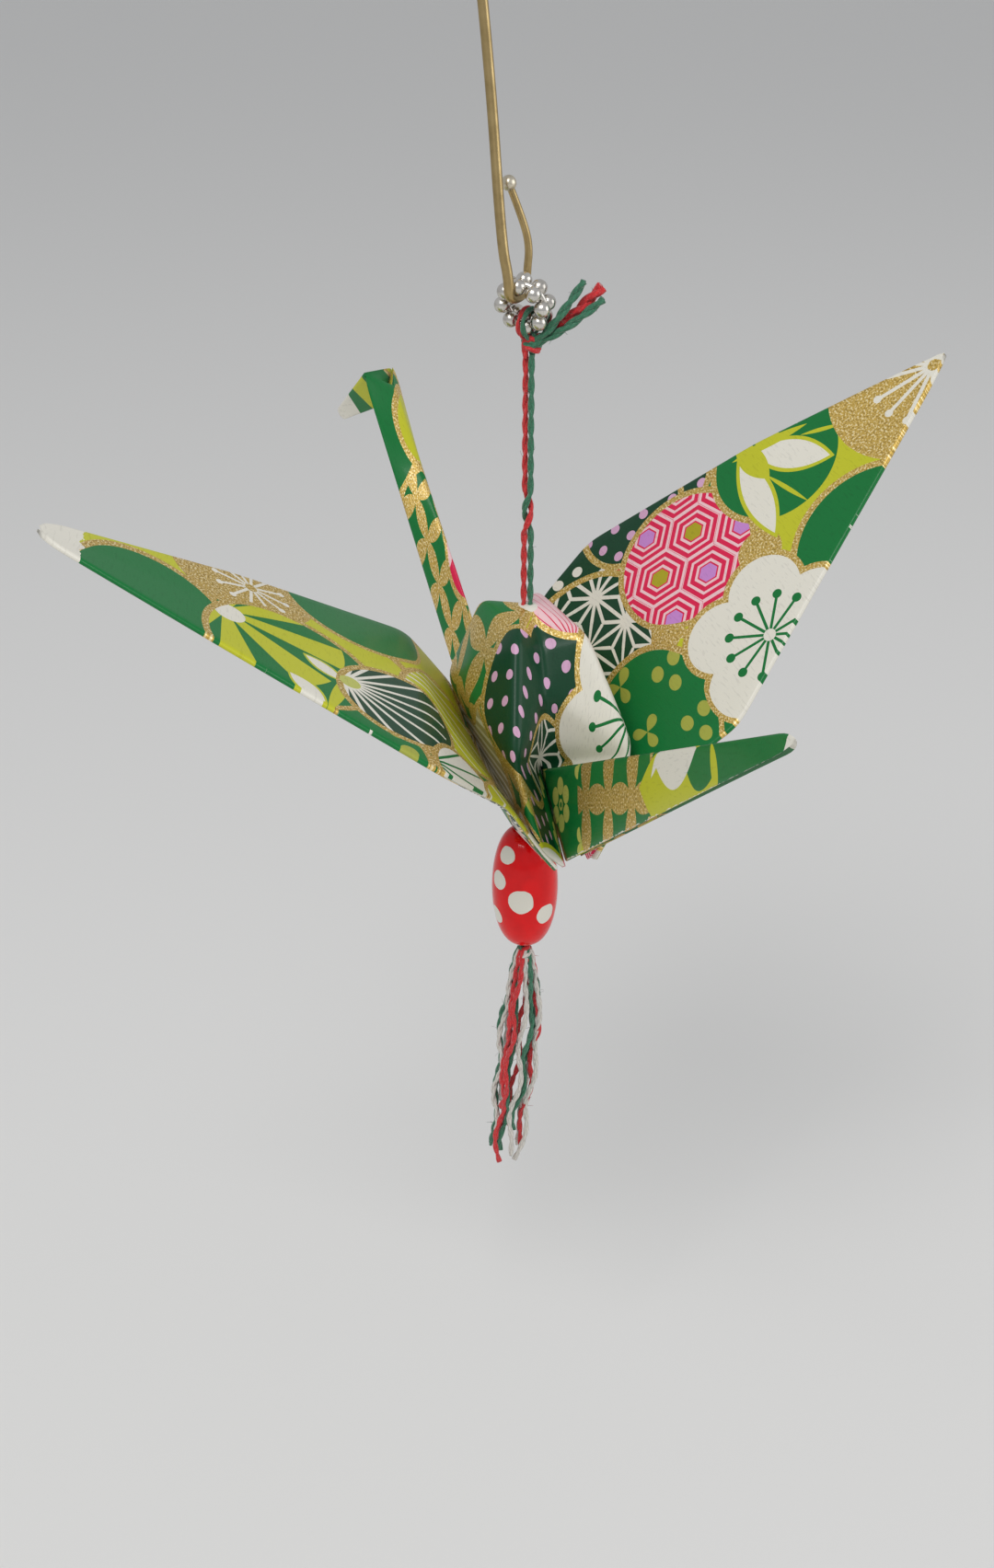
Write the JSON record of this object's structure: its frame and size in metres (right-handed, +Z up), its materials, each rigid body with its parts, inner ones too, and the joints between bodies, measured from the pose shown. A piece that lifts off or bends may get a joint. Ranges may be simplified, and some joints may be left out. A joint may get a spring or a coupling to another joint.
{
  "type": "hanging origami crane ornament",
  "caption": "Folded paper crane of patterned washi on a twisted thread, with a spotted bead and tassel below and a beaded spacer ring and wire hook above, for hanging as a decoration",
  "frame": {"origin": "inside top of the wire hook, where the ornament hangs, straight above the thread", "axes": "+Z up along the thread, +X the way the crane's head points, +Y toward its left wing"},
  "size_m": [0.078, 0.073, 0.1229],
  "materials": {
    "printed_paper": "printed paper under clear lacquer",
    "twisted_cotton": "red and green twisted cotton",
    "silver_ring": "polished, slightly tarnished",
    "gilt_wire": "drawn wire",
    "red_glaze": "glossy red with white spots",
    "loose_cotton": "frayed white, red and green threads"
  },
  "bodies": {
    "root": {"folded_crane": "printed_paper", "hanging_thread": "twisted_cotton", "thread_knot": "twisted_cotton", "bead_ring": "silver_ring", "hook_wire": "gilt_wire", "dotted_bead": "red_glaze", "tassel": "loose_cotton"}
  },
  "joints": []
}
